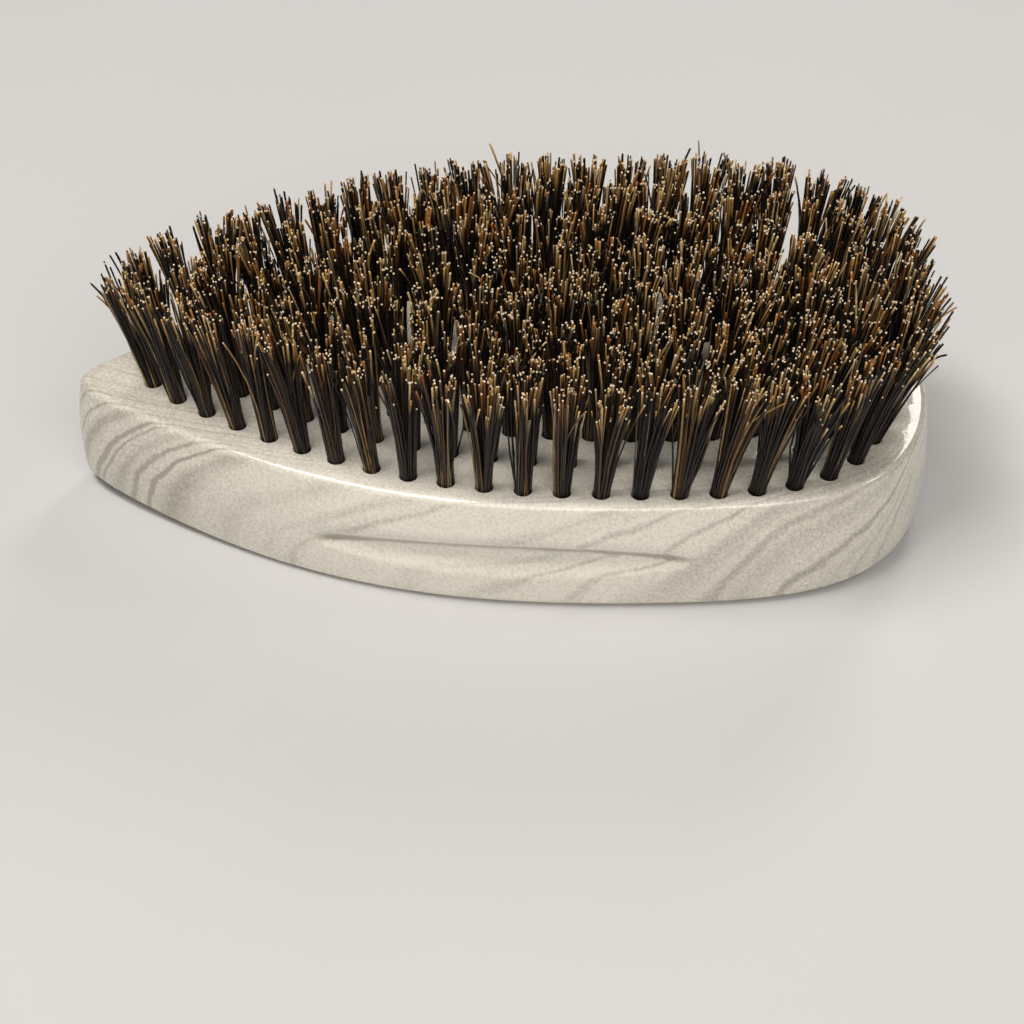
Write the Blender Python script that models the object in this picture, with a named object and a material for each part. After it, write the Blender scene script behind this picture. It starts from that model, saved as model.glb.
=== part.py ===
"""Beard brush: a pear-shaped palm block with rings of bristle tufts set in blind holes.

The block lies on its flat back with its bristles pointing up (+Z). +X points to the broad end, and the origin is
on the back, under the middle of the brush. Lengths are in metres.
"""

import math

import bmesh
import bpy
from mathutils import Vector

MM = 0.001

# The block. Its outline is symmetric about the X axis, and half_width() makes it from five control widths, given
# from the narrow end to the broad end.
BLOCK_LENGTH = 118.3 * MM
BLOCK_WIDTHS = [width * MM for width in (23.6, 53.3, 61.8, 38.6, 91.5)]
BLOCK_THICKNESS = 17.8 * MM
SIDE_BULGE = 0.89 * MM
RIM_RADIUS = 1.0 * MM
BACK_RADIUS = 1.3 * MM
BACK_END_LIFT = 1.6 * MM
BACK_FLAT_HALF_LENGTH = 27.0 * MM
BACK_LOOP_SCALES = (0.8, 0.44)
HALF_OUTLINE_STEPS = 30

# The finger groove scooped into each long side: steep under its upper lip, gentle below.
GROOVE_HALF_LENGTH = 27.0 * MM
GROOVE_CENTRE_X = 0.5 * MM
GROOVE_HEIGHT_ABOVE_BACK = 8.2 * MM
GROOVE_TILT = 0.02
GROOVE_HALF_HEIGHT = 3.1 * MM
GROOVE_END_HALF_HEIGHT = 0.8 * MM
GROOVE_DEPTH = 1.4 * MM
GROOVE_SKEW = 1.8
GROOVE_STATIONS = (0.0, 0.3, 0.55, 0.75, 0.9, 1.0)

# The outer ring of tufts has its own outline, and every other ring is inset from it.
RING_START_X = -49.2 * MM
RING_LENGTH = 102.4 * MM
RING_WIDTHS = [width * MM for width in (19.8, 46.2, 54.2, 35.0, 84.0)]
RING_SPACING = 6.2 * MM
RINGS = (
    # name, tufts, distance of the first tuft past the narrow end, half-width where the narrow end is cut square
    ("outer", 47, 1.2 * MM, 0.0),
    ("second", 38, 0.0, 0.0),
    ("third", 29, 0.0, 0.0),
    ("inner", 18, 2.8 * MM, 2.6 * MM),
)
CENTRE_ROWS = (
    # name, tufts, X of the first, X of the last
    ("narrow", 1, -16.6 * MM, -16.6 * MM),
    ("centre", 5, 4.6 * MM, 29.4 * MM),
)
OUTLINE_SAMPLES = 360

# Holes and tufts. Their axes fan out from one point far below the block.
FAN_CENTRE = Vector((0.0, 0.0, BLOCK_THICKNESS - 230.0 * MM))
HOLE_DEPTH = 9.0 * MM
HOLE_HALF_WIDTH = 1.35 * MM
HOLE_CLEARANCE = 0.35 * MM
TUFT_HEIGHT = 18.8 * MM
TUFT_TIP_HALF_WIDTH = 2.66 * MM
TUFT_SIDES = 8
TUFTS_PER_GROUP = 3
TIP_SPACING = 5.2 * MM

LACQUER_COLOUR = (0.80, 0.76, 0.68, 1.0)
BRISTLE_COLOUR = (0.045, 0.032, 0.022, 1.0)


def clear_scene():
    for old in list(bpy.data.objects):
        bpy.data.objects.remove(old)


def material(name, colour, roughness):
    made = bpy.data.materials.new(name)
    made.use_nodes = True
    shader = made.node_tree.nodes["Principled BSDF"]
    shader.inputs["Base Color"].default_value = colour
    shader.inputs["Roughness"].default_value = roughness
    shader.inputs["Metallic"].default_value = 0.0
    return made


def add_object(name, mesh):
    made = bpy.data.objects.new(name, mesh)
    bpy.context.scene.collection.objects.link(made)
    return made


def finish(obj, surface):
    obj.data.materials.clear()
    obj.data.materials.append(surface)
    obj.data.shade_smooth()
    obj.data.set_sharp_from_angle(angle=math.radians(35.0))


def half_width(fraction, widths):
    """Half the width of an outline, at a fraction of its length from the narrow end; both ends come out round."""
    order = len(widths) - 1
    blend = sum(
        width * math.comb(order, i) * fraction**i * (1.0 - fraction) ** (order - i)
        for i, width in enumerate(widths)
    )
    return math.sqrt(fraction * (1.0 - fraction)) * blend


def half_outline(start_x, length, widths, steps):
    """Points along the -Y side of an outline, from its narrow end to its broad end, closest together at the ends."""
    points = []
    for i in range(steps + 1):
        fraction = (1.0 - math.cos(math.pi * i / steps)) / 2.0
        points.append(Vector((start_x + length * fraction, -half_width(fraction, widths), 0.0)))
    return points


def outward_normals(half):
    """Unit normals of a half outline. Those at the two ends lie along the X axis."""
    normals = [Vector((-1.0, 0.0, 0.0))]
    for before, after in zip(half, half[2:]):
        along = after - before
        normals.append(Vector((along.y, -along.x, 0.0)).normalized())
    return normals + [Vector((1.0, 0.0, 0.0))]


def whole_loop(half):
    """The closed loop, anticlockwise seen from above, of a half outline and its mirror image."""
    return half + [Vector((point.x, -point.y, point.z)) for point in half[-2:0:-1]]


def back_height(x):
    """Height of the back over the X-Y plane: flat in the middle, lifting slightly towards both ends."""
    past_flat = max(0.0, abs(x) - BACK_FLAT_HALF_LENGTH)
    return BACK_END_LIFT * (past_flat / (BLOCK_LENGTH / 2.0 - BACK_FLAT_HALF_LENGTH)) ** 2


def side_offset(z):
    """How far the side stands out from the outline at a height, as a shallow barrel."""
    from_middle = (2.0 * z - BLOCK_THICKNESS) / BLOCK_THICKNESS
    return SIDE_BULGE * (1.0 - from_middle**2)


def groove_point(x, station):
    """(offset, height) of a point of the side, at a fraction of the groove's height from its lower edge."""
    reach = max(0.0, 1.0 - ((x - GROOVE_CENTRE_X) / GROOVE_HALF_LENGTH) ** 2)
    half_height = max(GROOVE_END_HALF_HEIGHT, GROOVE_HALF_HEIGHT * math.sqrt(reach))
    z = GROOVE_HEIGHT_ABOVE_BACK + GROOVE_TILT * x + half_height * (2.0 * station - 1.0)
    depth = GROOVE_DEPTH * reach * math.sin(math.pi * station**GROOVE_SKEW)
    return side_offset(z) - depth, z


def side_profile(x):
    """(offset, height) pairs down the side of the block at this X, from the bristle face to the back."""
    slope = math.sqrt(0.5)
    profile = [
        (-RIM_RADIUS, BLOCK_THICKNESS),
        (-RIM_RADIUS * (1.0 - slope), BLOCK_THICKNESS - RIM_RADIUS * (1.0 - slope)),
        (side_offset(BLOCK_THICKNESS - RIM_RADIUS), BLOCK_THICKNESS - RIM_RADIUS),
    ]
    profile += [groove_point(x, station) for station in reversed(GROOVE_STATIONS)]
    back = back_height(x)
    profile += [
        (side_offset(back + BACK_RADIUS), back + BACK_RADIUS),
        (side_offset(back) - BACK_RADIUS * (1.0 - slope), back + BACK_RADIUS * (1.0 - slope)),
        (side_offset(back) - BACK_RADIUS, back),
    ]
    return profile


def block_mesh():
    """The block as closed loops, bridged from the bristle face down the side and in under the back."""
    half = half_outline(-BLOCK_LENGTH / 2.0, BLOCK_LENGTH, BLOCK_WIDTHS, HALF_OUTLINE_STEPS)
    normals = outward_normals(half)
    profiles = [side_profile(point.x) for point in half]
    loops = []
    for row in zip(*profiles):
        moved = [
            point + normal * offset + Vector((0.0, 0.0, z))
            for point, normal, (offset, z) in zip(half, normals, row)
        ]
        loops.append(whole_loop(moved))
    edge = loops[-1]
    for scale in BACK_LOOP_SCALES:
        loops.append([Vector((p.x * scale, p.y * scale, back_height(p.x * scale))) for p in edge])

    shape = bmesh.new()
    rings = [[shape.verts.new(point) for point in loop] for loop in loops]
    shape.faces.new(rings[0])
    for upper, lower in zip(rings, rings[1:]):
        count = len(upper)
        for i in range(count):
            after = (i + 1) % count
            shape.faces.new((upper[i], lower[i], lower[after], upper[after]))
    shape.faces.new(reversed(rings[-1]))
    mesh = bpy.data.meshes.new("block")
    shape.to_mesh(mesh)
    shape.free()
    return mesh


def inset(half, distance, least_half_width):
    """A half outline moved inwards, without the points that would cross the axis or fold over themselves."""
    moved = [point - normal * distance for point, normal in zip(half, outward_normals(half))]
    slack = distance * 0.003
    kept = [
        point
        for point in moved
        if (point.y < -least_half_width or point.x > 0.0 > point.y)
        and min((point - other).length for other in half) > distance - slack
    ]
    ends = [Vector((end.x, 0.0, 0.0)) for end in (kept[0], kept[-1])]
    return [ends[0]] + kept + [ends[1]]


def spread_along(loop, count, start):
    """(place, direction) of tufts spread evenly along a closed loop."""
    closed = loop + [loop[0]]
    steps = [(b - a).length for a, b in zip(closed, closed[1:])]
    pitch = sum(steps) / count
    placed = []
    walked = 0.0
    for a, b, step in zip(closed, closed[1:], steps):
        while len(placed) < count and start + pitch * len(placed) < walked + step:
            part = (start + pitch * len(placed) - walked) / step
            placed.append((a.lerp(b, part), (b - a).normalized()))
        walked += step
    return placed


def tuft_rings():
    """The tufts of each ring and of the straight rows along the axis: (name, [(place, direction)])."""
    outer = half_outline(RING_START_X, RING_LENGTH, RING_WIDTHS, OUTLINE_SAMPLES)
    rings = []
    for i, (name, count, start, least_half_width) in enumerate(RINGS):
        half = inset(outer, RING_SPACING * i, least_half_width) if i else outer
        rings.append((name, spread_along(whole_loop(half), count, start)))
    forwards = Vector((1.0, 0.0, 0.0))
    for name, count, first_x, last_x in CENTRE_ROWS:
        step = (last_x - first_x) / max(1, count - 1)
        row = [(forwards * (first_x + step * i), forwards) for i in range(count)]
        rings.append((name, row))
    return rings


def on_axis(place, z):
    """The point at this height on the axis of the hole at this place."""
    at_face = Vector((place.x, place.y, BLOCK_THICKNESS))
    axis = at_face - FAN_CENTRE
    return at_face + axis * ((z - BLOCK_THICKNESS) / axis.z)


def section(centre, direction, half_width):
    """A level regular section of a hole or a tuft, with one flat facing along its ring."""
    across = Vector((-direction.y, direction.x, 0.0))
    radius = half_width / math.cos(math.pi / TUFT_SIDES)
    angles = [math.tau * (i + 0.5) / TUFT_SIDES for i in range(TUFT_SIDES)]
    return [centre + (direction * math.cos(a) + across * math.sin(a)) * radius for a in angles]


def prism(shape, sections):
    """Adds a closed solid through level sections, given from the bottom up."""
    rings = [[shape.verts.new(point) for point in points] for points in sections]
    shape.faces.new(reversed(rings[0]))
    for lower, upper in zip(rings, rings[1:]):
        for i in range(TUFT_SIDES):
            after = (i + 1) % TUFT_SIDES
            shape.faces.new((lower[i], lower[after], upper[after], upper[i]))
    shape.faces.new(rings[-1])


def hole_cutter(rings):
    """One mesh of all the blind holes, each reaching a little above the bristle face."""
    shape = bmesh.new()
    ends = (BLOCK_THICKNESS - HOLE_DEPTH, BLOCK_THICKNESS + RIM_RADIUS)
    for _, tufts in rings:
        for place, direction in tufts:
            prism(shape, [section(on_axis(place, z), direction, HOLE_HALF_WIDTH) for z in ends])
    mesh = bpy.data.meshes.new("hole_cutter")
    shape.to_mesh(mesh)
    shape.free()
    return mesh


def tuft_mesh(place, direction, tip):
    """One tuft: a straight root in its hole, then a bundle that widens to its trimmed tip."""
    root = HOLE_HALF_WIDTH - HOLE_CLEARANCE
    bottom = on_axis(place, BLOCK_THICKNESS - HOLE_DEPTH + HOLE_CLEARANCE)
    neck = on_axis(place, BLOCK_THICKNESS)
    shape = bmesh.new()
    prism(
        shape,
        [
            section(bottom, direction, root),
            section(neck, direction, root),
            section(tip, direction, TUFT_TIP_HALF_WIDTH),
        ],
    )
    mesh = bpy.data.meshes.new("tuft")
    shape.to_mesh(mesh)
    shape.free()
    return mesh


def gathered_tips(tufts):
    """Tip centres of neighbouring tufts, drawn together until the tips just mingle."""
    tips = [on_axis(place, BLOCK_THICKNESS + TUFT_HEIGHT) for place, _ in tufts]
    if len(tips) == 2:
        middle, reach = (tips[0] + tips[1]) / 2.0, TIP_SPACING / 2.0
    else:
        middle, reach = tips[len(tips) // 2], TIP_SPACING
    return [middle + (tip - middle).normalized() * reach for tip in tips]


def tuft_group(name, tufts):
    """Neighbouring tufts whose tips mingle, joined into one solid."""
    meshes = [
        tuft_mesh(place, direction, tip)
        for (place, direction), tip in zip(tufts, gathered_tips(tufts))
    ]
    group = add_object(name, meshes[0])
    others = [add_object(name + "_other", mesh) for mesh in meshes[1:]]
    for other in others:
        join = group.modifiers.new("join", "BOOLEAN")
        join.operation = "UNION"
        join.object = other
    graph = bpy.context.evaluated_depsgraph_get()
    joined = bpy.data.meshes.new_from_object(group.evaluated_get(graph))
    group.modifiers.clear()
    group.data = joined
    for other in others:
        bpy.data.objects.remove(other)
    return group


def main():
    clear_scene()
    lacquer = material("marbled_lacquer", LACQUER_COLOUR, 0.15)
    bristle = material("bristle", BRISTLE_COLOUR, 0.5)
    rings = tuft_rings()

    block = add_object("block", block_mesh())
    cutter = add_object("hole_cutter", hole_cutter(rings))
    cutter.hide_render = True
    cutter.display_type = "WIRE"
    drill = block.modifiers.new("drill", "BOOLEAN")
    drill.operation = "DIFFERENCE"
    drill.solver = "EXACT"
    drill.object = cutter
    finish(block, lacquer)

    for ring_name, tufts in rings:
        for number, first in enumerate(range(0, len(tufts), TUFTS_PER_GROUP), start=1):
            members = tufts[first : first + TUFTS_PER_GROUP]
            group = tuft_group(f"tufts_{ring_name}_{number:02d}", members)
            finish(group, bristle)


main()
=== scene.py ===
"""Looks of the beard brush: a lacquered palm block, 138 tufts of natural bristle and their anchors.

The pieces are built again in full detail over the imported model, in its frame: metres, the back on the
floor, bristles up, +X towards the broad end. The block's shape and the tufts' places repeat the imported
model's rules.
"""

import math

import bmesh
import bpy
import numpy as np
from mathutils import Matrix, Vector
from mathutils.geometry import delaunay_2d_cdt


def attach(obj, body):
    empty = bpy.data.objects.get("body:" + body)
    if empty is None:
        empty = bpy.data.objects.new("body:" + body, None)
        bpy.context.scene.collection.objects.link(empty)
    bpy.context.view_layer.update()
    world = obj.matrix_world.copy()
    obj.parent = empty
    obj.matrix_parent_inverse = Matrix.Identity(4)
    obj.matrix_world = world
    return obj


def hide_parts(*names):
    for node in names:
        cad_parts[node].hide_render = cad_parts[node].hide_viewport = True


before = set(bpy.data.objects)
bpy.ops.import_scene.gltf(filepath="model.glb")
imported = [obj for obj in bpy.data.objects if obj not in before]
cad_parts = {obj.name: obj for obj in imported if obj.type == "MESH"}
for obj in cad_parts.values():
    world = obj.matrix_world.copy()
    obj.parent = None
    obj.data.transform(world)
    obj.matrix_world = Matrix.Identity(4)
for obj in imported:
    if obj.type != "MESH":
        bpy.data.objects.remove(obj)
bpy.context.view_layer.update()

MM = 0.001

# The block's shape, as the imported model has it, except the finger groove's depth and profile.
BLOCK_LENGTH = 118.3 * MM
BLOCK_WIDTHS = [width * MM for width in (23.6, 53.3, 61.8, 38.6, 91.5)]
BLOCK_THICKNESS = 17.8 * MM
SIDE_BULGE = 0.89 * MM
RIM_RADIUS = 1.0 * MM
BACK_RADIUS = 1.3 * MM
BACK_END_LIFT = 1.6 * MM
BACK_FLAT_HALF_LENGTH = 27.0 * MM
GROOVE_HALF_LENGTH = 27.0 * MM
GROOVE_CENTRE_X = 0.5 * MM
GROOVE_HEIGHT_ABOVE_BACK = 8.2 * MM
GROOVE_TILT = 0.02
GROOVE_HALF_HEIGHT = 3.1 * MM
GROOVE_END_HALF_HEIGHT = 0.8 * MM
GROOVE_DEPTH = 1.6 * MM
# The groove falls in steeply under its lip, over this share of its height, and comes out gently below.
GROOVE_UPPER_SHARE = 0.36
GROOVE_UPPER_CURVE = 1.25

# Where the tufts stand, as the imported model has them.
RING_START_X = -49.2 * MM
RING_LENGTH = 102.4 * MM
RING_WIDTHS = [width * MM for width in (19.8, 46.2, 54.2, 35.0, 84.0)]
RING_SPACING = 6.2 * MM
RINGS = (
    # name, tufts, distance of the first past the narrow end, half-width where that end is cut square
    ("outer", 47, 1.2 * MM, 0.0),
    ("second", 38, 0.0, 0.0),
    ("third", 29, 0.0, 0.0),
    ("inner", 18, 2.8 * MM, 2.6 * MM),
)
CENTRE_ROWS = (
    # name, tufts, X of the first, X of the last
    ("narrow", 1, -16.6 * MM, -16.6 * MM),
    ("centre", 5, 4.6 * MM, 29.4 * MM),
)
OUTLINE_SAMPLES = 360
TUFTS_PER_GROUP = 3
FAN_CENTRE = Vector((0.0, 0.0, BLOCK_THICKNESS - 230.0 * MM))
HOLE_DEPTH = 9.0 * MM
TUFT_HEIGHT = 18.8 * MM

# An inset point may come nearer to the outline than its distance by this share of it.
INSET_SLACK = 0.003

# Fineness of the block's mesh, and its round holes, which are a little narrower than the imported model's.
HALF_OUTLINE_STEPS = 130
RIM_STEPS = 8
GROOVE_STEPS = 22
PLAIN_SIDE_STEPS = 4
BACK_STEPS = 7
BACK_LOOPS = 12
HOLE_RADIUS = 1.22 * MM
HOLE_LIP = 0.14 * MM
HOLE_LIP_STEP = 0.3
HOLE_SIDES = 24
SAME_POINT = 1e-9
SHARP_ANGLE = 50.0

# Bristles. A (low, high) pair is the range that a value is drawn from, and a spread is the standard
# deviation of a normal draw.
BRISTLES_PER_TUFT = 64
BRISTLE_SIDES = 5
BRISTLE_RADIUS = 0.140 * MM
BRISTLE_THICKNESS = (0.72, 1.22)
# Heights along a bristle as shares of its free length, from its foot in the hole, and its taper at each.
LEVELS = np.array((-0.43, 0.0, 0.36, 0.62, 0.82, 0.93, 0.988, 1.0))
TAPER = np.array((1.0, 1.0, 0.98, 0.95, 0.95, 0.98, 1.0, 0.92))
# No tube runs exactly in this direction, so it serves to turn the rings of a tube's points.
NEVER_ALONG = np.array((0.12, 0.99, 0.05))
GOLDEN_ANGLE = math.pi * (3.0 - math.sqrt(5.0))
COLOUR_LAYER = "bristle_colour"
FIRST_SEED = 40

# How a tuft opens from the hole to its tips, leans, and gathers into clumps.
TUFT_NECK_RADIUS = 1.20 * MM
TUFT_TIP_RADIUS = 3.35 * MM
TUFT_OPENING = (0.85, 1.15)
TUFT_LEAN_SPREAD = 0.45 * MM
TIP_PLACE_SPREAD = 0.55 * MM
CLUMPS_PER_TUFT = (3, 8)
CLUMP_PULL = (0.2, 0.75)
BOW_SPREAD = 0.16 * MM
# The opening is part steady and part curved. Strays follow the tuft at first, and bend away late.
STEADY_OPENING = 0.30
OPENING_POWER = 1.9
STRAY_STEADY = 0.35
STRAY_POWER = 3.2

# Strays stand further out than the rest, more bowed, at uneven heights.
STRAY_SHARE = 0.045
STRAY_REACH = (1.1, 1.6)
STRAY_PLACE_SPREAD = 1.4 * MM
STRAY_HEIGHT = (-2.0 * MM, 1.2 * MM)
STRAY_BOW = 4.0

# Lengths: a spread inside a tuft, a spread between tufts, and some bristles that stop short.
LENGTH_SPREAD = 0.55 * MM
TUFT_LENGTH_SPREAD = 0.25 * MM
SHORT_SHARE = 0.22
SHORT_LENGTH = (0.74, 0.97)
# Tufts towards the far broad corner are taller: from this X and Y on, and in full this much further.
FAR_TUFTS_TALLER = 1.2 * MM
FAR_START = (-30.0 * MM, -6.0 * MM)
FAR_REACH = (50.0 * MM, 30.0 * MM)

# The anchors: places along the wire, as shares of its half-width, and heights from the bristle face.
ANCHOR_HALF_WIDTH = 0.85 * MM
ANCHOR_WIRE_RADIUS = 0.2 * MM
ANCHOR_REACH = np.array((-1.0, -0.82, -0.3, 0.3, 0.82, 1.0))
ANCHOR_HEIGHT = np.array((-8.3, -8.62, -8.66, -8.66, -8.62, -8.3)) * MM

# The colours of a bristle's stem and of its tip, with how often each comes.
STEM_COLOURS = (
    ((0.0060, 0.0044, 0.0033), 0.58),
    ((0.022, 0.0115, 0.0055), 0.22),
    ((0.075, 0.033, 0.011), 0.08),
    ((0.270, 0.155, 0.052), 0.08),
    ((0.120, 0.095, 0.060), 0.04),
)
TIP_COLOURS = (
    ((0.46, 0.250, 0.075), 0.22),
    ((0.66, 0.440, 0.190), 0.14),
    ((0.30, 0.095, 0.017), 0.11),
    ((0.20, 0.155, 0.100), 0.05),
    ((0.007, 0.005, 0.003), 0.48),
)
# The pale cut ends: partly the bristles' pale pith, partly a painted highlight of the light on their flat
# ends.
CUT_END_PITH_AND_GLINT_COLOUR = np.array((0.76, 0.61, 0.42))
CUT_END_SHARE = 0.55
STEM_SHADE = (0.7, 1.35)
TIP_SHADE = (0.75, 1.25)
CUT_END_SHADE = (0.75, 1.1)
# Where a stem starts to pale. The power crowds the starts towards the tip.
PALING_START = (0.42, 0.98)
PALING_POWER = 0.42
PALING_END = 1.02


# ---------------------------------------------------------------- outline and tuft places


def half_width(fraction, widths):
    """Half the width of the outline at a fraction of its length: round ends times a smooth blend."""
    order = len(widths) - 1
    blend = sum(
        width * math.comb(order, i) * fraction**i * (1.0 - fraction) ** (order - i)
        for i, width in enumerate(widths)
    )
    return math.sqrt(max(0.0, fraction * (1.0 - fraction))) * blend


def half_outline(start_x, length, widths, steps):
    """The near half of the outline, from the narrow end to the broad end."""
    points = []
    for i in range(steps + 1):
        fraction = (1.0 - math.cos(math.pi * i / steps)) / 2.0
        points.append(Vector((start_x + length * fraction, -half_width(fraction, widths), 0.0)))
    return points


def outward_normals(half):
    """The level outward direction at each point of the near half."""
    normals = [Vector((-1.0, 0.0, 0.0))]
    for before, after in zip(half, half[2:]):
        along = after - before
        normals.append(Vector((along.y, -along.x, 0.0)).normalized())
    return normals + [Vector((1.0, 0.0, 0.0))]


def whole_loop(half):
    """The half and its mirror image, as one closed loop."""
    return half + [Vector((point.x, -point.y, point.z)) for point in half[-2:0:-1]]


def inset(half, distance, least_half_width):
    """The half moved inwards by a distance. Points that would fold over are dropped."""
    moved = [point - normal * distance for point, normal in zip(half, outward_normals(half))]
    slack = distance * INSET_SLACK
    kept = [
        point
        for point in moved
        if (point.y < -least_half_width or point.x > 0.0 > point.y)
        and min((point - other).length for other in half) > distance - slack
    ]
    ends = [Vector((end.x, 0.0, 0.0)) for end in (kept[0], kept[-1])]
    return [ends[0]] + kept + [ends[1]]


def spread_along(loop, count, start):
    """Places at an even pitch round a loop, each with the loop's direction there."""
    closed = loop + [loop[0]]
    steps = [(b - a).length for a, b in zip(closed, closed[1:])]
    pitch = sum(steps) / count
    placed = []
    walked = 0.0
    for a, b, step in zip(closed, closed[1:], steps):
        while len(placed) < count and start + pitch * len(placed) < walked + step:
            part = (start + pitch * len(placed) - walked) / step
            placed.append((a.lerp(b, part), (b - a).normalized()))
        walked += step
    return placed


def tuft_rings():
    """The name of each ring or row, and the (place, direction) of its tufts."""
    outer = half_outline(RING_START_X, RING_LENGTH, RING_WIDTHS, OUTLINE_SAMPLES)
    rings = []
    for i, (name, count, start, least_half_width) in enumerate(RINGS):
        half = inset(outer, RING_SPACING * i, least_half_width) if i else outer
        rings.append((name, spread_along(whole_loop(half), count, start)))
    forwards = Vector((1.0, 0.0, 0.0))
    for name, count, first_x, last_x in CENTRE_ROWS:
        step = (last_x - first_x) / max(1, count - 1)
        row = [(forwards * (first_x + step * i), forwards) for i in range(count)]
        rings.append((name, row))
    return rings


def hole_axis(place):
    """The holes fan out from one point far below the block."""
    return (Vector((place.x, place.y, BLOCK_THICKNESS)) - FAN_CENTRE).normalized()


# ---------------------------------------------------------------- the block


def back_height(x):
    """The back is flat in the middle and lifts towards both ends."""
    past_flat = max(0.0, abs(x) - BACK_FLAT_HALF_LENGTH)
    return BACK_END_LIFT * (past_flat / (BLOCK_LENGTH / 2.0 - BACK_FLAT_HALF_LENGTH)) ** 2


def side_offset(z):
    """How far the barrelled side stands out past the outline, at a height."""
    from_middle = (2.0 * z - BLOCK_THICKNESS) / BLOCK_THICKNESS
    return SIDE_BULGE * (1.0 - from_middle**2)


def groove_point(x, station):
    """(offset, height) of a point in the finger groove. A station is 0 at the lower edge, 1 at the lip."""
    reach = max(0.0, 1.0 - ((x - GROOVE_CENTRE_X) / GROOVE_HALF_LENGTH) ** 2)
    half_height = max(GROOVE_END_HALF_HEIGHT, GROOVE_HALF_HEIGHT * math.sqrt(reach))
    z = GROOVE_HEIGHT_ABOVE_BACK + GROOVE_TILT * x + half_height * (2.0 * station - 1.0)
    below_lip = 1.0 - station
    if below_lip < GROOVE_UPPER_SHARE:
        hollow = 1.0 - (1.0 - below_lip / GROOVE_UPPER_SHARE) ** GROOVE_UPPER_CURVE
    else:
        past = (below_lip - GROOVE_UPPER_SHARE) / (1.0 - GROOVE_UPPER_SHARE)
        hollow = (1.0 + math.cos(math.pi * past)) / 2.0
    return side_offset(z) - GROOVE_DEPTH * reach * hollow, z


def side_profile(x):
    """(offset, height) pairs down the block's side at this X, from the bristle face to the back."""
    profile = []
    below_rim = BLOCK_THICKNESS - RIM_RADIUS
    rim_reach = RIM_RADIUS + side_offset(below_rim)
    for i in range(RIM_STEPS + 1):
        turn = math.pi / 2.0 * i / RIM_STEPS
        profile.append(
            (rim_reach * math.sin(turn) - RIM_RADIUS, below_rim + RIM_RADIUS * math.cos(turn))
        )
    groove = [groove_point(x, 1.0 - i / GROOVE_STEPS) for i in range(GROOVE_STEPS + 1)]
    for i in range(1, PLAIN_SIDE_STEPS):
        z = below_rim + (groove[0][1] - below_rim) * i / PLAIN_SIDE_STEPS
        profile.append((side_offset(z), z))
    profile += groove
    back = back_height(x)
    above_back = back + BACK_RADIUS
    for i in range(1, PLAIN_SIDE_STEPS):
        z = groove[-1][1] + (above_back - groove[-1][1]) * i / PLAIN_SIDE_STEPS
        profile.append((side_offset(z), z))
    for i in range(BACK_STEPS + 1):
        turn = math.pi / 2.0 * i / BACK_STEPS
        z = above_back - BACK_RADIUS * math.sin(turn)
        profile.append((side_offset(z) - BACK_RADIUS * (1.0 - math.cos(turn)), z))
    return profile


def circle(centre, radius, z, axis):
    """A level circle of a hole at a height, on the hole's leaning axis."""
    middle = centre + axis * ((z - BLOCK_THICKNESS) / axis.z)
    return [
        Vector(
            (
                middle.x + radius * math.cos(math.tau * i / HOLE_SIDES),
                middle.y + radius * math.sin(math.tau * i / HOLE_SIDES),
                z,
            )
        )
        for i in range(HOLE_SIDES)
    ]


def bridge(shape, upper, lower):
    """A band of faces between two closed loops of vertices."""
    count = len(upper)
    for i in range(count):
        after = (i + 1) % count
        shape.faces.new((upper[i], lower[i], lower[after], upper[after]))


def block_loops():
    """Loops of points round the block, from the bristle face's edge down the side and in over the back."""
    half = half_outline(-BLOCK_LENGTH / 2.0, BLOCK_LENGTH, BLOCK_WIDTHS, HALF_OUTLINE_STEPS)
    normals = outward_normals(half)
    loops = []
    for row in zip(*(side_profile(point.x) for point in half)):
        moved = [
            point + normal * offset + Vector((0.0, 0.0, z))
            for point, normal, (offset, z) in zip(half, normals, row)
        ]
        loops.append(whole_loop(moved))
    edge = loops[-1]
    for i in range(1, BACK_LOOPS):
        scale = 1.0 - i / BACK_LOOPS
        loops.append([Vector((p.x * scale, p.y * scale, back_height(p.x * scale))) for p in edge])
    return loops


def add_hole(shape, place):
    """A blind hole with a small rounded lip. Returns the lip's loop of vertices in the bristle face."""
    axis = hole_axis(place)
    centre = Vector((place.x, place.y, BLOCK_THICKNESS))
    levels = (
        (HOLE_RADIUS + HOLE_LIP, BLOCK_THICKNESS),
        (HOLE_RADIUS + HOLE_LIP * HOLE_LIP_STEP, BLOCK_THICKNESS - HOLE_LIP * HOLE_LIP_STEP),
        (HOLE_RADIUS, BLOCK_THICKNESS - HOLE_LIP),
        (HOLE_RADIUS, BLOCK_THICKNESS - HOLE_DEPTH),
    )
    walls = [
        [shape.verts.new(point) for point in circle(centre, radius, z, axis)]
        for radius, z in levels
    ]
    for upper, lower in zip(walls, walls[1:]):
        bridge(shape, lower, upper)
    shape.faces.new(walls[-1])
    return walls[0]


def add_bristle_face(shape, outline, lips):
    """The flat face that the tufts stand in: triangles between the outline and the holes' lips."""
    flat = outline + [vert for lip in lips for vert in lip]
    owners = [-1] * len(outline) + [i for i in range(len(lips)) for _ in range(HOLE_SIDES)]
    edges = [(i, (i + 1) % len(outline)) for i in range(len(outline))]
    for first in range(len(outline), len(flat), HOLE_SIDES):
        edges += [(first + i, first + (i + 1) % HOLE_SIDES) for i in range(HOLE_SIDES)]
    flat_points = [vert.co.xy for vert in flat]
    found = delaunay_2d_cdt(flat_points, edges, [], 1, SAME_POINT)
    triangles, originals = found[2:4]
    source = [same[0] for same in originals]
    for corners in triangles:
        belongs = {owners[source[i]] for i in corners}
        inside_one_hole = len(belongs) == 1 and -1 not in belongs
        if not inside_one_hole:
            shape.faces.new([flat[source[i]] for i in corners])


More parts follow.
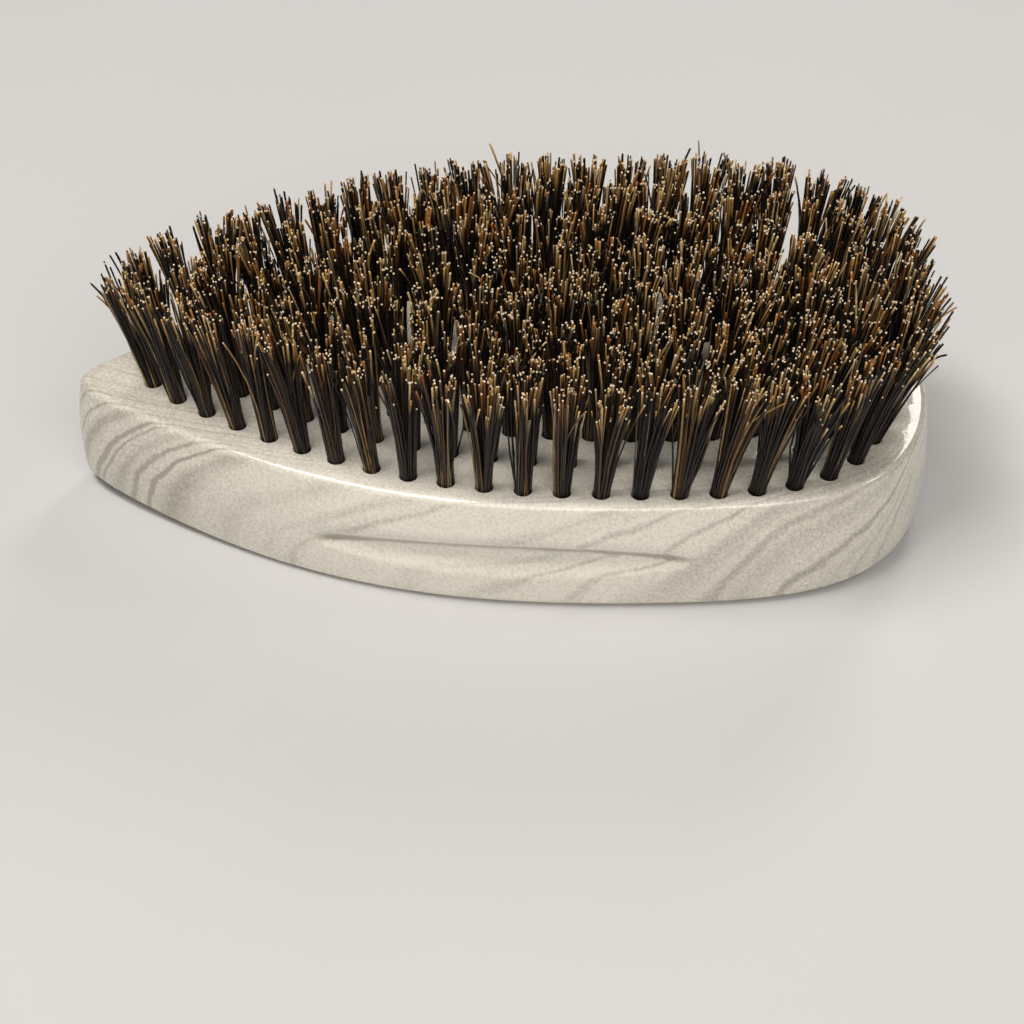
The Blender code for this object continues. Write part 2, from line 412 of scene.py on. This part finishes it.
def block_mesh(tufts):
    """The block with its rounded rims, finger grooves and one blind hole for each tuft."""
    shape = bmesh.new()
    loops = [[shape.verts.new(point) for point in loop] for loop in block_loops()]
    for upper, lower in zip(loops, loops[1:]):
        bridge(shape, upper, lower)
    shape.faces.new(reversed(loops[-1]))
    lips = [add_hole(shape, place) for place, _ in tufts]
    add_bristle_face(shape, loops[0], lips)
    bmesh.ops.recalc_face_normals(shape, faces=shape.faces)
    mesh = bpy.data.meshes.new("palm_block")
    shape.to_mesh(mesh)
    shape.free()
    mesh.shade_smooth()
    mesh.set_sharp_from_angle(angle=math.radians(SHARP_ANGLE))
    return mesh


# ---------------------------------------------------------------- bristles


def pick(rng, choices, count):
    """Colours drawn at random, each as often as its chance says."""
    chances = np.array([chance for _, chance in choices])
    colours = np.array([colour for colour, _ in choices])
    return colours[rng.choice(len(choices), count, p=chances / chances.sum())]


def tube_faces(count, levels):
    """The side faces of many tubes, and the flat cap at the last level of each, as corner numbers."""
    corner = np.arange(BRISTLE_SIDES)
    after = (corner + 1) % BRISTLE_SIDES
    low = (np.arange(levels - 1) * BRISTLE_SIDES)[:, None]
    high = low + BRISTLE_SIDES
    quads = np.stack((low + corner, low + after, high + after, high + corner), axis=-1).reshape(-1, 4)
    each = levels * BRISTLE_SIDES
    starts = (np.arange(count) * each)[:, None, None]
    sides = (quads[None] + starts).reshape(-1, 4)
    caps = (np.arange(each - BRISTLE_SIDES, each)[None, None] + starts).reshape(-1, BRISTLE_SIDES)
    return sides.tolist(), caps.tolist()


def tubes(name, paths, radii, colours, turns):
    """A mesh of many thin tubes, each closed by a flat cap at its last level.

    paths and colours are (tubes, levels, 3), radii is (tubes, levels), and turns has one angle for each tube.
    """
    count, levels, _ = paths.shape
    along = np.gradient(paths, axis=1)
    along /= np.linalg.norm(along, axis=2, keepdims=True)
    across = np.cross(along, NEVER_ALONG)
    across /= np.linalg.norm(across, axis=2, keepdims=True)
    other = np.cross(along, across)
    angles = turns[:, None] + np.arange(BRISTLE_SIDES) * math.tau / BRISTLE_SIDES
    ring = (
        across[:, :, None, :] * np.cos(angles)[:, None, :, None]
        + other[:, :, None, :] * np.sin(angles)[:, None, :, None]
    )
    points = paths[:, :, None, :] + ring * radii[:, :, None, None]
    shown = np.broadcast_to(colours[:, :, None, :], points.shape)

    sides, caps = tube_faces(count, levels)
    mesh = bpy.data.meshes.new(name)
    mesh.from_pydata(points.reshape(-1, 3).tolist(), [], sides + caps)
    smooth = np.ones(len(mesh.polygons), dtype=bool)
    smooth[len(sides) :] = False
    mesh.polygons.foreach_set("use_smooth", smooth)
    layer = mesh.color_attributes.new(COLOUR_LAYER, "FLOAT_COLOR", "POINT")
    opaque = np.ones((count * levels * BRISTLE_SIDES, 1))
    full = np.concatenate((shown.reshape(-1, 3), opaque), axis=1)
    layer.data.foreach_set("color", full.astype(np.float32).ravel())
    mesh.update()
    return mesh


def tip_places(rng, disc):
    """Where the bristles end, across the tuft's axis: opened out, drawn into clumps, with a few strays."""
    count = len(disc)
    opening = rng.uniform(*TUFT_OPENING)
    lean = rng.normal(0.0, TUFT_LEAN_SPREAD, 2)
    uneven = rng.normal(0.0, TIP_PLACE_SPREAD, (count, 2))
    tips = disc * TUFT_TIP_RADIUS * opening + uneven + lean
    clumps = tips[rng.choice(count, rng.integers(*CLUMPS_PER_TUFT), replace=False)]
    gaps = np.linalg.norm(tips[:, None] - clumps[None], axis=2)
    nearest = clumps[gaps.argmin(axis=1)]
    tips += (nearest - tips) * rng.uniform(*CLUMP_PULL, (count, 1))
    strays = rng.random(count) < STRAY_SHARE
    tips[strays] *= rng.uniform(*STRAY_REACH, (strays.sum(), 1))
    tips[strays] += rng.normal(0.0, STRAY_PLACE_SPREAD, (strays.sum(), 2))
    return tips, strays


def rise(value, start, reach):
    """0 up to the start, 1 from a reach past it, and straight between."""
    return min(1.0, max(0.0, (value - start) / reach))


def free_lengths(rng, place, strays):
    """How high above the bristle face each bristle of a tuft ends."""
    count = len(strays)
    lengths = TUFT_HEIGHT + rng.normal(0.0, LENGTH_SPREAD, count) + rng.normal(0.0, TUFT_LENGTH_SPREAD)
    short = rng.random(count) < SHORT_SHARE
    lengths[short] *= rng.uniform(*SHORT_LENGTH, short.sum())
    lengths[strays] += rng.uniform(*STRAY_HEIGHT, strays.sum())
    far = rise(place.y, FAR_START[1], FAR_REACH[1]) * rise(place.x, FAR_START[0], FAR_REACH[0])
    return lengths + FAR_TUFTS_TALLER * far


def bristle_paths(rng, place, direction):
    """Points up each bristle: packed tight in the hole, then fanning out with a slight bow."""
    count = BRISTLES_PER_TUFT
    spot = np.sqrt((np.arange(count) + 0.5) / count)
    turn = np.arange(count) * GOLDEN_ANGLE + rng.uniform(0.0, math.tau)
    disc = np.stack((spot * np.cos(turn), spot * np.sin(turn)), axis=1)
    neck = disc * (TUFT_NECK_RADIUS - BRISTLE_RADIUS)
    tips, strays = tip_places(rng, disc)
    lengths = free_lengths(rng, place, strays)

    share = np.clip(LEVELS, 0.0, 1.0)
    opening = STEADY_OPENING * share + (1.0 - STEADY_OPENING) * share**OPENING_POWER
    stray_opening = STRAY_STEADY * opening + (1.0 - STRAY_STEADY) * share**STRAY_POWER
    fan = np.where(strays[:, None], stray_opening, opening)
    bow = rng.normal(0.0, BOW_SPREAD, (count, 2))
    bow[strays] *= STRAY_BOW
    flat = (
        neck[:, None, :]
        + (tips - neck)[:, None, :] * fan[:, :, None]
        + bow[:, None, :] * np.sin(math.pi * share)[None, :, None]
    )
    high = np.where(LEVELS < 0.0, TUFT_HEIGHT * LEVELS, lengths[:, None] * LEVELS)

    axis = hole_axis(place)
    along = (direction - axis * direction.dot(axis)).normalized()
    tuft_axes = np.array((along, axis.cross(along), axis))
    foot = np.array((place.x, place.y, BLOCK_THICKNESS))
    return foot + np.concatenate((flat, high[:, :, None]), axis=2) @ tuft_axes


def bristle_colours(rng):
    """A colour at each level of each bristle: the stem's, paling into the tip's, and some pale cut ends,
    partly painted highlight.
    """
    count = BRISTLES_PER_TUFT
    stems = pick(rng, STEM_COLOURS, count) * rng.uniform(*STEM_SHADE, (count, 1))
    ends = pick(rng, TIP_COLOURS, count) * rng.uniform(*TIP_SHADE, (count, 1))
    start = rng.uniform(*PALING_START, (count, 1)) ** PALING_POWER
    share = np.clip(LEVELS, 0.0, 1.0)
    paling = np.clip((share - start) / (PALING_END - start), 0.0, 1.0)
    paling = (paling * (2.0 - paling))[:, :, None]
    colours = stems[:, None, :] * (1.0 - paling) + ends[:, None, :] * paling
    # Pale cut ends, partly painted highlight.
    pale = rng.random(count) < CUT_END_SHARE
    colours[pale, -1] = CUT_END_PITH_AND_GLINT_COLOUR * rng.uniform(*CUT_END_SHADE, (pale.sum(), 1))
    return colours


def tuft_mesh(name, place, direction, seed):
    """One tuft, as a piece of many bristles."""
    rng = np.random.default_rng(seed)
    count = BRISTLES_PER_TUFT
    paths = bristle_paths(rng, place, direction)
    radii = BRISTLE_RADIUS * rng.uniform(*BRISTLE_THICKNESS, (count, 1)) * TAPER
    colours = bristle_colours(rng)
    return tubes(name, paths, radii, colours, rng.uniform(0.0, math.tau, count))


def anchors_mesh(tufts):
    """The short wires that hold the tufts: one across the bottom of each hole, its ends turned up."""
    paths = []
    for place, direction in tufts:
        axis = hole_axis(place)
        across = axis.cross(direction).normalized()
        foot = np.array((place.x, place.y, BLOCK_THICKNESS))
        sideways = np.outer(ANCHOR_REACH * ANCHOR_HALF_WIDTH, across)
        paths.append(foot + sideways + np.outer(ANCHOR_HEIGHT, axis))
    paths = np.array(paths)
    radii = np.full(paths.shape[:2], ANCHOR_WIRE_RADIUS)
    return tubes("anchors", paths, radii, np.ones(paths.shape), np.zeros(len(paths)))


# ---------------------------------------------------------------- materials


class Nodes:
    """Adds nodes to one material and links them."""

    def __init__(self, name):
        self.material = bpy.data.materials.new(name)
        self.material.use_nodes = True
        self.tree = self.material.node_tree
        self.shader = self.tree.nodes["Principled BSDF"]

    def feed(self, socket, value):
        if isinstance(value, bpy.types.NodeSocket):
            self.tree.links.new(value, socket)
        else:
            socket.default_value = value

    def add(self, kind, **inputs):
        node = self.tree.nodes.new(kind)
        for name, value in inputs.items():
            self.feed(node.inputs[name.replace("_", " ")], value)
        return node

    def math(self, operation, *values):
        node = self.tree.nodes.new("ShaderNodeMath")
        node.operation = operation
        for socket, value in zip(node.inputs, values):
            self.feed(socket, value)
        return node.outputs[0]

    def noise(self, vector, scale, detail=2.0, roughness=0.5):
        node = self.add("ShaderNodeTexNoise", Vector=vector, Scale=scale)
        self.feed(node.inputs["Detail"], detail)
        self.feed(node.inputs["Roughness"], roughness)
        return node.outputs["Fac"]

    def noise_along(self, value, scale, detail, roughness):
        """Noise that changes with one number only."""
        node = self.tree.nodes.new("ShaderNodeTexNoise")
        node.noise_dimensions = "1D"
        self.feed(node.inputs["W"], value)
        self.feed(node.inputs["Scale"], scale)
        self.feed(node.inputs["Detail"], detail)
        self.feed(node.inputs["Roughness"], roughness)
        return node.outputs["Fac"]

    def mix(self, factor, first, second):
        node = self.tree.nodes.new("ShaderNodeMix")
        node.data_type = "RGBA"
        self.feed(node.inputs["Factor"], factor)
        colours = [socket for socket in node.inputs if socket.type == "RGBA"]
        self.feed(colours[0], first)
        self.feed(colours[1], second)
        return next(socket for socket in node.outputs if socket.type == "RGBA")

    def smooth_range(self, value, low, high, to_low=0.0, to_high=1.0):
        """The value's place between low and high, eased, as a number from to_low to to_high."""
        node = self.tree.nodes.new("ShaderNodeMapRange")
        node.interpolation_type = "SMOOTHSTEP"
        self.feed(node.inputs["Value"], value)
        self.feed(node.inputs["From Min"], low)
        self.feed(node.inputs["From Max"], high)
        self.feed(node.inputs["To Min"], to_low)
        self.feed(node.inputs["To Max"], to_high)
        return node.outputs[0]


# The part of a noise's range that is spread over a surface's range of roughness.
NOISE_RANGE = (0.3, 0.7)

# The grain is a stack of layers. The layer at a place is its Y, plus a bend along X, plus GRAIN_RISE times
# its Z, in millimetres. GRAIN_SLOPES is the bend's slope at an X.
GRAIN_SLOPES = (
    (-60.0, 0.36), (-49.0, 0.29), (-45.0, 0.25), (-33.0, 0.22), (-12.0, 0.07), (0.0, -0.05),
    (8.0, -0.13), (16.0, -0.165), (24.0, -0.235), (32.0, -0.31), (40.0, -0.43), (44.0, -0.40),
    (48.0, -0.66), (52.0, -1.08), (56.0, -2.1), (58.0, -3.7), (60.0, -5.0),
)
GRAIN_SAMPLES = 41
GRAIN_RISE = 0.22
# The layers' unevenness: (noise scale, noise detail, size in millimetres).
GRAIN_SWAYS = ((55.0, 1.0, 2.2), (330.0, 2.0, 0.32))
# Faint bands in the grain: (noise scale, noise roughness, noise where a band starts, where full, strength).
GRAIN_BANDS = ((0.42, 0.6, 0.46, 0.74, 0.20), (2.1, 0.7, 0.56, 0.74, 0.05))
BAND_DETAIL = 3.0
# Dark veins in the grain: (layer in millimetres, half-width in millimetres, strength).
VEINS = (
    (26.2, 0.60, 0.30), (24.1, 0.26, 0.55), (22.6, 0.20, 0.40), (19.8, 0.90, 0.26), (16.4, 0.30, 0.40),
    (13.0, 0.50, 0.30), (9.6, 0.24, 0.45), (8.8, 0.50, 0.30), (4.2, 0.30, 0.36), (0.6, 0.70, 0.28),
    (-3.1, 0.24, 0.40), (-6.2, 0.30, 0.35), (-7.9, 0.20, 0.45), (-8.9, 0.35, 0.40), (-10.3, 0.18, 0.45),
    (-11.4, 0.50, 0.36), (-12.64, 0.28, 0.85), (-13.14, 0.16, 0.55), (-14.1, 0.60, 0.28),
    (-14.94, 0.26, 0.62), (-15.84, 0.22, 0.90), (-17.0, 0.90, 0.50), (-19.6, 0.80, 0.26),
    (-21.3, 0.50, 0.30), (-22.3, 0.25, 0.34), (-25.0, 0.50, 0.24), (-26.45, 0.30, 0.40),
    (-28.15, 0.30, 0.38), (-29.9, 1.00, 0.20), (-31.0, 0.40, 0.45), (-31.8, 0.80, 0.24),
    (-33.1, 0.26, 0.60), (-34.2, 0.20, 0.35), (-35.0, 0.22, 0.40),
)
# Veins above this layer belong to the narrow end. Between two Xs they weaken to a share of their strength.
TIP_VEINS_ABOVE = -18.0
TIP_VEINS_WEAKEN = (-42.0, -20.0)
TIP_VEINS_REST = 0.22
# Bands and veins come and go in patches, where a noise in the first range sets a strength in the second.
# They are fainter on the bristle face.
PATCH_SCALE = 42.0
PATCH_NOISE = (0.30, 0.70)
PATCH_STRENGTH = (0.45, 1.15)
FACE_FADE = (16.6, 17.8)
FACE_STRENGTH = 0.6
# Painted shade towards both ends, where the sides catch less light: (first X, last X, shade at the first,
# shade at the last).
PAINTED_END_SHADES = ((-60.0, -14.0, 0.42, 0.0), (12.0, 58.0, 0.0, 0.32))
# Painted shade along the crease under the groove's lip, where the lip's shadow falls, in millimetres. It
# fades at the groove's ends.
CREASE_BELOW_LIP = 1.0
CREASE_CORE = 0.1
CREASE_HALF_WIDTH = 0.9
CREASE_STRENGTH = 0.90
CREASE_END_FADE = 0.3
# Speckle and clouding of the lacquer, and its fine waves. A noise is (scale, detail, roughness).
GRIT_NOISE = (2400.0, 1.0, 0.6)
GRIT_MIDDLE = 0.43
CLOUD_NOISE = (120.0, 3.0, 0.55)
CLOUD_STRENGTH = 0.22
LACQUER_ROUGHNESS = (0.34, 0.46)
WAVE_SCALE = 420.0
GRIT_IN_WAVES = 0.06
WAVE_STRENGTH = 0.35
WAVE_HEIGHT = 0.12 * MM
CREAM = (0.87, 0.815, 0.705, 1.0)
TAUPE = (0.38, 0.338, 0.268, 1.0)
COAT_WEIGHT = 1.0
COAT_ROUGHNESS = 0.05
COAT_IOR = 1.5

# Streaks along the bristles, much longer than they are wide, and the shine of the bristles.
STREAK_NOISE = (6500.0, 2.0, 0.6)
STREAK_STRETCH = (1.0, 1.0, 0.12)
STREAK_RANGE = (0.25, 0.75)
STREAK_SHADE = (0.62, 1.35)
BRISTLE_ROUGHNESS = (0.30, 0.50)
BRISTLE_SPECULAR = 0.38

# Colours, fineness and roughness of the anchors and of the floor.
STEEL = ((0.50, 0.49, 0.46, 1.0), (0.66, 0.65, 0.62, 1.0))
STEEL_SCALE = 3000.0
STEEL_ROUGHNESS = (0.25, 0.45)
FLOOR = ((0.56, 0.555, 0.545, 1.0), (0.60, 0.595, 0.585, 1.0))
FLOOR_SCALE = 9.0
FLOOR_ROUGHNESS = 0.75


def grain_bend(nodes, x_mm):
    """How far the layers have bent at an X: the sum of GRAIN_SLOPES, as a curve."""
    first, last = GRAIN_SLOPES[0][0], GRAIN_SLOPES[-1][0]
    at = np.linspace(first, last, GRAIN_SAMPLES)
    slopes = np.interp(at, *zip(*GRAIN_SLOPES))
    bent = np.concatenate(((0.0,), np.cumsum((slopes[1:] + slopes[:-1]) / 2.0 * np.diff(at))))
    bent -= np.interp(0.0, at, bent)
    low, high = bent.min(), bent.max()
    node = nodes.tree.nodes.new("ShaderNodeFloatCurve")
    curve = node.mapping.curves[0]
    places = list(zip((at - first) / (last - first), (bent - low) / (high - low)))
    curve.points[0].location, curve.points[-1].location = places[0], places[-1]
    for place in places[1:-1]:
        curve.points.new(*place)
    node.mapping.update()
    along = nodes.math("DIVIDE", nodes.math("SUBTRACT", x_mm, first), last - first)
    nodes.feed(node.inputs["Value"], along)
    return nodes.math("MULTIPLY_ADD", node.outputs[0], float(high - low), float(low))


def grain_layer(nodes, here, x_mm, y_mm, z_mm):
    """The layer of the grain at a place, in millimetres."""
    layer = nodes.math("ADD", y_mm, grain_bend(nodes, x_mm))
    layer = nodes.math("MULTIPLY_ADD", z_mm, GRAIN_RISE, layer)
    for scale, detail, size in GRAIN_SWAYS:
        sway = nodes.math("SUBTRACT", nodes.noise(here, scale, detail), 0.5)
        layer = nodes.math("MULTIPLY_ADD", sway, size, layer)
    return layer


def marbling(nodes, here, x_mm, y_mm, z_mm):
    """How dark the bands and veins of the grain are."""
    layer = grain_layer(nodes, here, x_mm, y_mm, z_mm)
    dark = 0.0
    for scale, roughness, starts, full, strength in GRAIN_BANDS:
        ripple = nodes.noise_along(layer, scale, BAND_DETAIL, roughness)
        band = nodes.smooth_range(ripple, starts, full)
        dark = nodes.math("MULTIPLY_ADD", band, strength, dark)
    weakening = nodes.smooth_range(x_mm, *TIP_VEINS_WEAKEN, 1.0, TIP_VEINS_REST)
    for place, half, strength in VEINS:
        off = nodes.math("ABSOLUTE", nodes.math("SUBTRACT", layer, place))
        line = nodes.smooth_range(off, 0.0, half, strength, 0.0)
        if place > TIP_VEINS_ABOVE:
            line = nodes.math("MULTIPLY", line, weakening)
        dark = nodes.math("ADD", dark, line)
    patches = nodes.smooth_range(nodes.noise(here, PATCH_SCALE), *PATCH_NOISE, *PATCH_STRENGTH)
    dark = nodes.math("MULTIPLY", dark, patches)
    return nodes.math("MULTIPLY", dark, nodes.smooth_range(z_mm, *FACE_FADE, 1.0, FACE_STRENGTH))


def painted_crease_shade(nodes, x_mm, z_mm):
    """How dark the painted shade in the crease under the finger groove's lip is. It follows the groove's
    upper edge.
    """
    centre, half_length = GROOVE_CENTRE_X / MM, GROOVE_HALF_LENGTH / MM
    along = nodes.math("DIVIDE", nodes.math("SUBTRACT", x_mm, centre), half_length)
    reach = nodes.math("SUBTRACT", 1.0, nodes.math("MULTIPLY", along, along))
    reach = nodes.math("MAXIMUM", reach, 0.0)
    crease = nodes.math("MULTIPLY", nodes.math("SQRT", reach), GROOVE_HALF_HEIGHT / MM)
    crease = nodes.math("ADD", crease, GROOVE_HEIGHT_ABOVE_BACK / MM - CREASE_BELOW_LIP)
    crease = nodes.math("MULTIPLY_ADD", x_mm, GROOVE_TILT, crease)
    off = nodes.math("ABSOLUTE", nodes.math("SUBTRACT", z_mm, crease))
    shade = nodes.smooth_range(off, CREASE_CORE, CREASE_HALF_WIDTH, CREASE_STRENGTH, 0.0)
    return nodes.math("MULTIPLY", shade, nodes.smooth_range(reach, 0.0, CREASE_END_FADE))


def lacquer_material():
    """Cream lacquer over a taupe grain, with a clear gloss coat, and painted shade towards the ends and under
    the groove's lip.
    """
    nodes = Nodes("marbled_lacquer")
    here = nodes.add("ShaderNodeTexCoord").outputs["Object"]
    split = nodes.add("ShaderNodeSeparateXYZ", Vector=here)
    x_mm, y_mm, z_mm = (nodes.math("DIVIDE", split.outputs[i], MM) for i in range(3))

    dark = marbling(nodes, here, x_mm, y_mm, z_mm)
    # Painted shade towards both ends of the block.
    for first, last, shade_at_first, shade_at_last in PAINTED_END_SHADES:
        shade = nodes.smooth_range(x_mm, first, last, shade_at_first, shade_at_last)
        dark = nodes.math("ADD", dark, shade)
    # Painted shade in the crease under the groove's lip.
    dark = nodes.math("ADD", dark, painted_crease_shade(nodes, x_mm, z_mm))
    grit = nodes.noise(here, *GRIT_NOISE)
    dark = nodes.math("ADD", dark, nodes.math("SUBTRACT", grit, GRIT_MIDDLE))
    cloud = nodes.math("SUBTRACT", nodes.noise(here, *CLOUD_NOISE), 0.5)
    dark = nodes.math("MULTIPLY_ADD", cloud, CLOUD_STRENGTH, dark)
    dark = nodes.math("MINIMUM", nodes.math("MAXIMUM", dark, 0.0), 1.0)
    nodes.feed(nodes.shader.inputs["Base Color"], nodes.mix(dark, CREAM, TAUPE))
    roughness = nodes.smooth_range(grit, *NOISE_RANGE, *LACQUER_ROUGHNESS)
    nodes.feed(nodes.shader.inputs["Roughness"], roughness)

    waves = nodes.math("MULTIPLY_ADD", grit, GRIT_IN_WAVES, nodes.noise(here, WAVE_SCALE))
    bump = nodes.add("ShaderNodeBump", Strength=WAVE_STRENGTH, Distance=WAVE_HEIGHT, Height=waves)
    nodes.feed(nodes.shader.inputs["Normal"], bump.outputs[0])
    nodes.feed(nodes.shader.inputs["Coat Normal"], bump.outputs[0])
    nodes.shader.inputs["Coat Weight"].default_value = COAT_WEIGHT
    nodes.shader.inputs["Coat Roughness"].default_value = COAT_ROUGHNESS
    nodes.shader.inputs["Coat IOR"].default_value = COAT_IOR
    return nodes.material


def bristle_material():
    """Natural bristle: the colours that each tuft's mesh carries, with fine streaks along the bristles."""
    nodes = Nodes("natural_bristle")
    own = nodes.tree.nodes.new("ShaderNodeAttribute")
    own.attribute_name = COLOUR_LAYER
    here = nodes.add("ShaderNodeTexCoord").outputs["Object"]
    stretched = nodes.add("ShaderNodeMapping", Vector=here, Scale=STREAK_STRETCH).outputs[0]
    streak = nodes.noise(stretched, *STREAK_NOISE)
    scaled = nodes.tree.nodes.new("ShaderNodeVectorMath")
    scaled.operation = "SCALE"
    nodes.feed(scaled.inputs[0], own.outputs["Color"])
    nodes.feed(scaled.inputs["Scale"], nodes.smooth_range(streak, *STREAK_RANGE, *STREAK_SHADE))
    nodes.feed(nodes.shader.inputs["Base Color"], scaled.outputs[0])
    roughness = nodes.smooth_range(streak, *NOISE_RANGE, *BRISTLE_ROUGHNESS)
    nodes.feed(nodes.shader.inputs["Roughness"], roughness)
    nodes.shader.inputs["Specular IOR Level"].default_value = BRISTLE_SPECULAR
    return nodes.material


def anchor_material():
    nodes = Nodes("anchor_steel")
    here = nodes.add("ShaderNodeTexCoord").outputs["Object"]
    scratches = nodes.noise(here, STEEL_SCALE)
    nodes.feed(nodes.shader.inputs["Base Color"], nodes.mix(scratches, *STEEL))
    roughness = nodes.smooth_range(scratches, *NOISE_RANGE, *STEEL_ROUGHNESS)
    nodes.feed(nodes.shader.inputs["Roughness"], roughness)
    nodes.shader.inputs["Metallic"].default_value = 1.0
    return nodes.material


def floor_material():
    nodes = Nodes("studio_floor")
    here = nodes.add("ShaderNodeTexCoord").outputs["Object"]
    cloud = nodes.noise(here, FLOOR_SCALE, 3.0)
    nodes.feed(nodes.shader.inputs["Base Color"], nodes.mix(cloud, *FLOOR))
    nodes.shader.inputs["Roughness"].default_value = FLOOR_ROUGHNESS
    return nodes.material


# ---------------------------------------------------------------- building


def show(name, mesh, material, node):
    """Adds one piece to the scene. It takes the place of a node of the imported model."""
    piece = bpy.data.objects.new(name, mesh)
    bpy.context.scene.collection.objects.link(piece)
    mesh.materials.append(material)
    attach(piece, "root")
    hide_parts(node)


rings = tuft_rings()
all_tufts = [tuft for _, tufts in rings for tuft in tufts]
show("palm_block", block_mesh(all_tufts), lacquer_material(), "block")
show("anchors", anchors_mesh(all_tufts), anchor_material(), "block")

bristle = bristle_material()
seed = FIRST_SEED
for ring_name, tufts in rings:
    for number, (place, direction) in enumerate(tufts):
        name = f"bristles_{ring_name}_{number + 1:02d}"
        group = f"tufts_{ring_name}_{number // TUFTS_PER_GROUP + 1:02d}"
        show(name, tuft_mesh(name, place, direction, seed), bristle, group)
        seed += 1


# ---------------------------------------------------------------- studio

FLOOR_REACH = 3.0
LIGHTS = (
    # name, place, width, height, watts, colour
    ("key", (-0.26, -0.13, 0.79), 0.42, 0.20, 5.0, (1.0, 0.965, 0.93)),
    ("front", (0.20, -0.80, 0.76), 1.00, 0.50, 5.8, (1.0, 0.98, 0.945)),
    ("right", (0.60, 0.02, 0.60), 0.16, 0.12, 0.6, (1.0, 0.98, 0.95)),
    ("behind", (0.28, 0.66, 0.54), 0.24, 0.30, 1.9, (1.0, 0.96, 0.90)),
)
WORLD_COLOUR = (0.90, 0.92, 0.95, 1.0)
WORLD_STRENGTH = 0.12
# The camera of the photo, in the part's frame. Its turn is in degrees.
CAMERA_PLACE = (5.23 * MM, -321.03 * MM, 264.23 * MM)
CAMERA_TURN = (49.915, -0.263, 0.897)
CAMERA_LENS = 101.37
CAMERA_NEAREST = 10.0 * MM

signs = ((-1, -1), (1, -1), (1, 1), (-1, 1))
corners = [(x * FLOOR_REACH, y * FLOOR_REACH, 0.0) for x, y in signs]
floor_mesh = bpy.data.meshes.new("studio_floor")
floor_mesh.from_pydata(corners, [], [(0, 1, 2, 3)])
floor_mesh.materials.append(floor_material())
floor = bpy.data.objects.new("studio_floor", floor_mesh)
bpy.context.scene.collection.objects.link(floor)

for name, place, width, height, watts, colour in LIGHTS:
    lamp = bpy.data.lights.new(name, "AREA")
    lamp.shape = "RECTANGLE"
    lamp.size, lamp.size_y = width, height
    lamp.energy = watts
    lamp.color = colour
    holder = bpy.data.objects.new(name, lamp)
    holder.location = place
    holder.rotation_euler = (-Vector(place)).to_track_quat("-Z", "Y").to_euler()
    bpy.context.scene.collection.objects.link(holder)

world = bpy.data.worlds.new("studio")
world.use_nodes = True
sky = world.node_tree.nodes["Background"]
sky.inputs["Color"].default_value = WORLD_COLOUR
sky.inputs["Strength"].default_value = WORLD_STRENGTH
bpy.context.scene.world = world
bpy.context.scene.view_settings.view_transform = "Standard"

camera_data = bpy.data.cameras.new("camera")
camera_data.lens = CAMERA_LENS
camera_data.clip_start = CAMERA_NEAREST
camera = bpy.data.objects.new("camera", camera_data)
camera.location = CAMERA_PLACE
camera.rotation_euler = [math.radians(angle) for angle in CAMERA_TURN]
bpy.context.scene.collection.objects.link(camera)
bpy.context.scene.camera = camera
